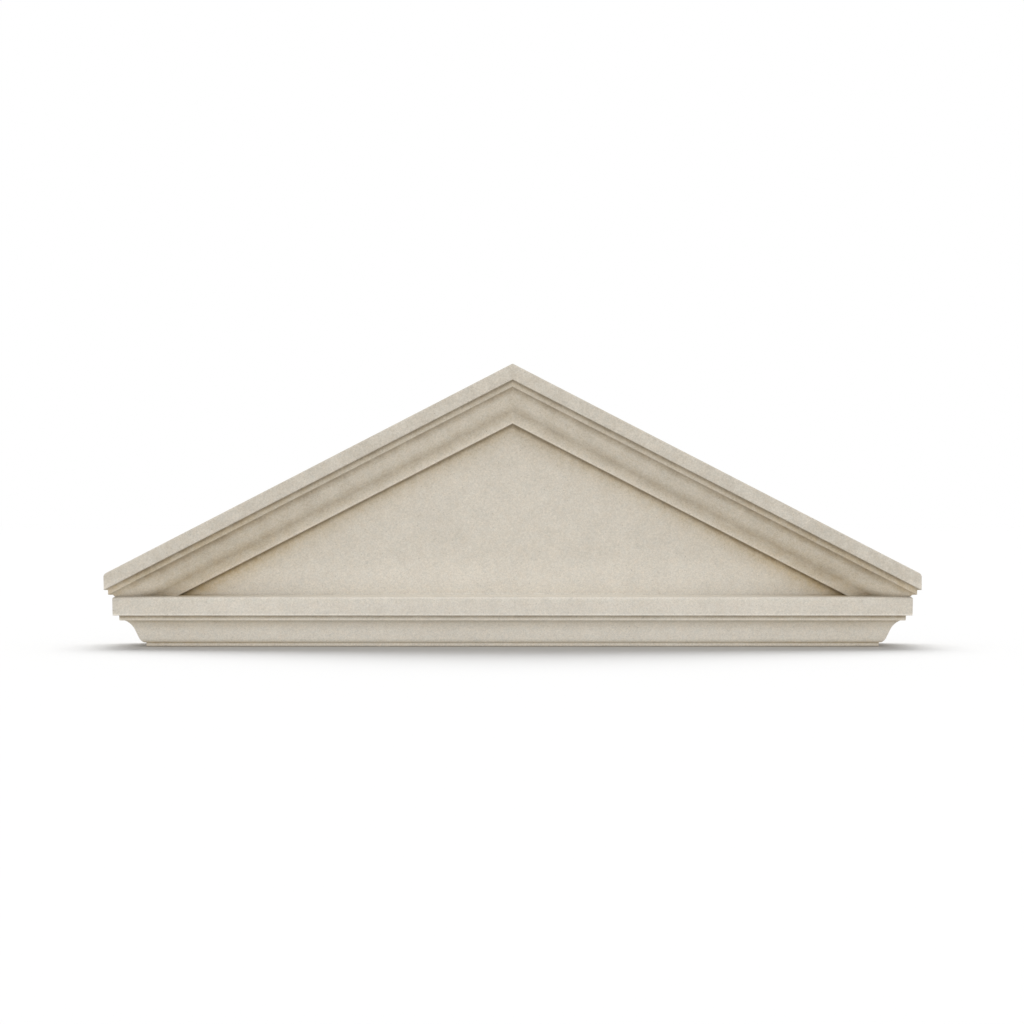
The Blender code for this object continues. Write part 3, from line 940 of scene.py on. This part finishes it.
# %% Soft noise on the stone
def patches(size, detail=2.0, stretch=(1.0, 1.0, 1.0)):
    """Soft noise from 0 to 1 whose patches are about size across, drawn out along some axes."""
    spread = put("Mapping", {"Vector": place, "Scale": stretch})
    inputs = {"Vector": spread.outputs[0], "Scale": 1 / size, "Detail": detail, "Roughness": 0.55}
    return put("TexNoise", inputs).outputs[0]


def varied(size, low, high, detail=2.0):
    """An amount from low to high that changes in patches of that size."""
    return between(patches(size, detail), 0.3, 0.7, low, high)


def either_side(value, reach):
    """A value from 0 to 1, made to go from -reach/2 to reach/2."""
    return reckon("MULTIPLY_ADD", value, reach, -reach / 2)


uneven = plus(varied(0.035, 0.88, 1.08), varied(0.0055, -0.07, 0.07))
print("grime is broken up into patches of 35 and 5.5 mm")

# %% Grime and painted shade
RUBBED_CLEAN = 0.4
rubbed = put("Attribute", {}, attribute_name="rubbed").outputs["Fac"]
rake_foot_dirt = times(foot_dirt, between(height_up, LEVEL_TOP + 0.001, LEVEL_TOP + 0.010, 0.06, 0.0))
towards_apex = times(on_field, plus(between(height_up, LEVEL_TOP, LEVEL_TOP + 0.10, 0.0, 0.28),
                                    between(height_up, 0.33, 0.46, 0.0, 0.10)))
towards_ends = times(below_ledge, between(across, 0.50, 0.80, 0.0, 0.13))
# painted light: less darkening at the feet of the rakes, to lighten the shade that falls there
lightened_at_rake_feet = times(on_rake, between(height_up, LEVEL_TOP + 0.010, LEVEL_TOP + 0.046, 0.80, 0.0),
               between(across, 0.67, 0.73, 1.0, 0.5))
# dirt together with painted shade: the stops paint shade into creases, hollows and the line on the ground
grime_and_shade = times(plus(times(member_grime_and_shade, less(1.0, lightened_at_rake_feet)), towards_apex, towards_ends), uneven)
grime_and_shade = times(plus(grime_and_shade, rake_foot_dirt), reckon("MULTIPLY_ADD", rubbed, -RUBBED_CLEAN, 1.0))
grime_and_shade = times(reckon("MINIMUM", grime_and_shade, 1.0), on_front)
grime_and_shade = plus(grime_and_shade, times(varied(0.09, 0.25, 0.36, 4.0), on_back))
print("an arris that is fully rubbed keeps", 1.0 - RUBBED_CLEAN, "of its grime")

# %% Ochre
CORNER_OCHRE = 1.75
CORNER_FROM, CORNER_FULL = 0.30, 0.66       # metres from the middle
in_corner = between(across, CORNER_FROM, CORNER_FULL, 1.0, CORNER_OCHRE)
ochre = times(member_ochre, in_corner, varied(0.018, 0.82, 1.18))
ochre = reckon("MINIMUM", times(plus(ochre, rake_foot_dirt), on_front), 1.0)
print("ochre is", CORNER_OCHRE, "times as strong from", CORNER_FULL, "m as it is within", CORNER_FROM, "m")

# %% [markdown]
# Under the dirt each sand grain, about two millimetres across, has a tone of its own, and a few are
# dark. Softer patches of tone and warmth lie over them. The foot of the tympanum is painted paler,
# as painted light against the shade where it meets the ledge, and the whole level cornice is a little
# paler than what stands on it. The back was the open side of the mould, so it is trowelled flat and
# has small air holes.

# %% Sand grains and mottling
GRAIN_SIZE = 0.0019
DARK_SHARE, DARKEST = 0.03, 0.16
grains = put("TexVoronoi", {"Vector": place, "Scale": 1 / GRAIN_SIZE}).outputs["Color"]
grain_tone, grain_warmth, grain_number = put("SeparateColor", {0: grains}).outputs[:3]
dark_grains = between(grain_number, 0.0, DARK_SHARE, -DARKEST, 0.0)
mottling = plus(either_side(patches(0.0042), 0.22), either_side(patches(0.025), 0.09),
                either_side(patches(0.11, 1.0), 0.08))
# painted light: the foot of the tympanum is made paler where it meets the ledge
painted_light_at_field_foot = times(on_field, above_ledge, between(height_up, LEVEL_TOP + 0.004, LEVEL_TOP + 0.026, 0.055, 0.0))
tone = plus(either_side(grain_tone, 0.17), mottling, painted_light_at_field_foot, times(below_ledge, 0.025), dark_grains)
warmth = plus(either_side(patches(0.013), 0.06), either_side(grain_warmth, 0.03))
print(f"{100 * DARK_SHARE:.0f} in 100 grains are darker, by up to {100 * DARKEST:.0f} percent")

# %% Air holes of the trowelled back
HOLE_SPACING = 0.021
HOLE_CORE, HOLE_EDGE = 0.07, 0.11           # largest radii, as shares of the spacing
HOLE_SHADE, HOLE_RELIEF = 0.35, 5.0
bubbles = put("TexVoronoi", {"Vector": place, "Scale": 1 / HOLE_SPACING}).outputs
bubble_size = put("SeparateColor", {0: bubbles["Color"]}).outputs[0]
core, edge = times(bubble_size, HOLE_CORE), times(bubble_size, HOLE_EDGE)
air_holes = times(between(bubbles["Distance"], core, edge, 1.0, 0.0), on_back)
print("widest air hole", round(2 * HOLE_EDGE * HOLE_SPACING * 1000, 1), "mm")

# %% The finished colour
CLEAN_STONE = (0.624, 0.586, 0.520)
# the tint of dirt and of painted shade
GRIME_AND_SHADE_TINT = (0.42, 0.39, 0.34)
OCHRE_TINT = (0.77, 0.645, 0.44)


def tinted(colour, tint, amount):
    """The colour multiplied by a tint, as far as amount says."""
    inputs = {0: amount, 6: colour, 7: (*tint, 1.0)}
    return put("Mix", inputs, data_type="RGBA", blend_type="MULTIPLY").outputs[2]


lit = plus(less(tone, times(air_holes, HOLE_SHADE)), 1.0)
speckle = put("CombineColor", {0: plus(lit, warmth), 1: lit, 2: less(lit, warmth)}).outputs[0]
body = tinted(speckle, CLEAN_STONE, 1.0)
# dirt and painted shade, then the ochre stain
soiled_and_shaded = tinted(tinted(body, GRIME_AND_SHADE_TINT, grime_and_shade), OCHRE_TINT, ochre)
stone_tree.links.new(soiled_and_shaded, stone_shader.inputs["Base Color"])
print("clean stone", CLEAN_STONE, "under grime", GRIME_AND_SHADE_TINT, "and ochre", OCHRE_TINT)

# %% Dry, sandy surface
sandy = plus(times(grain_number, 0.35), times(patches(0.0030, 3.0), 0.9))
trowelled = times(patches(0.030, 3.0, (1.0, 1.0, 1.8)), 9.0, on_back)
relief = less(plus(sandy, trowelled), times(air_holes, HOLE_RELIEF))
rough = put("Bump", {"Strength": 0.5, "Distance": 0.0004, "Height": relief}).outputs[0]
stone_tree.links.new(rough, stone_shader.inputs["Normal"])
stone_tree.links.new(between(grime_and_shade, 0.0, 1.0, 0.86, 0.95), stone_shader.inputs["Roughness"])
stone_shader.inputs["Specular IOR Level"].default_value = 0.25
stone_mesh.materials.append(stone)
print("stone:", len(stone_tree.nodes), "nodes")

# %% [markdown]
# ## Into the frame
#
# The skin rides on the piece's only body and takes the plain solid's place in the picture.

# %% The piece in the frame
stone_only.objects.link(pediment)
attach(pediment, "root")
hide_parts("pediment")
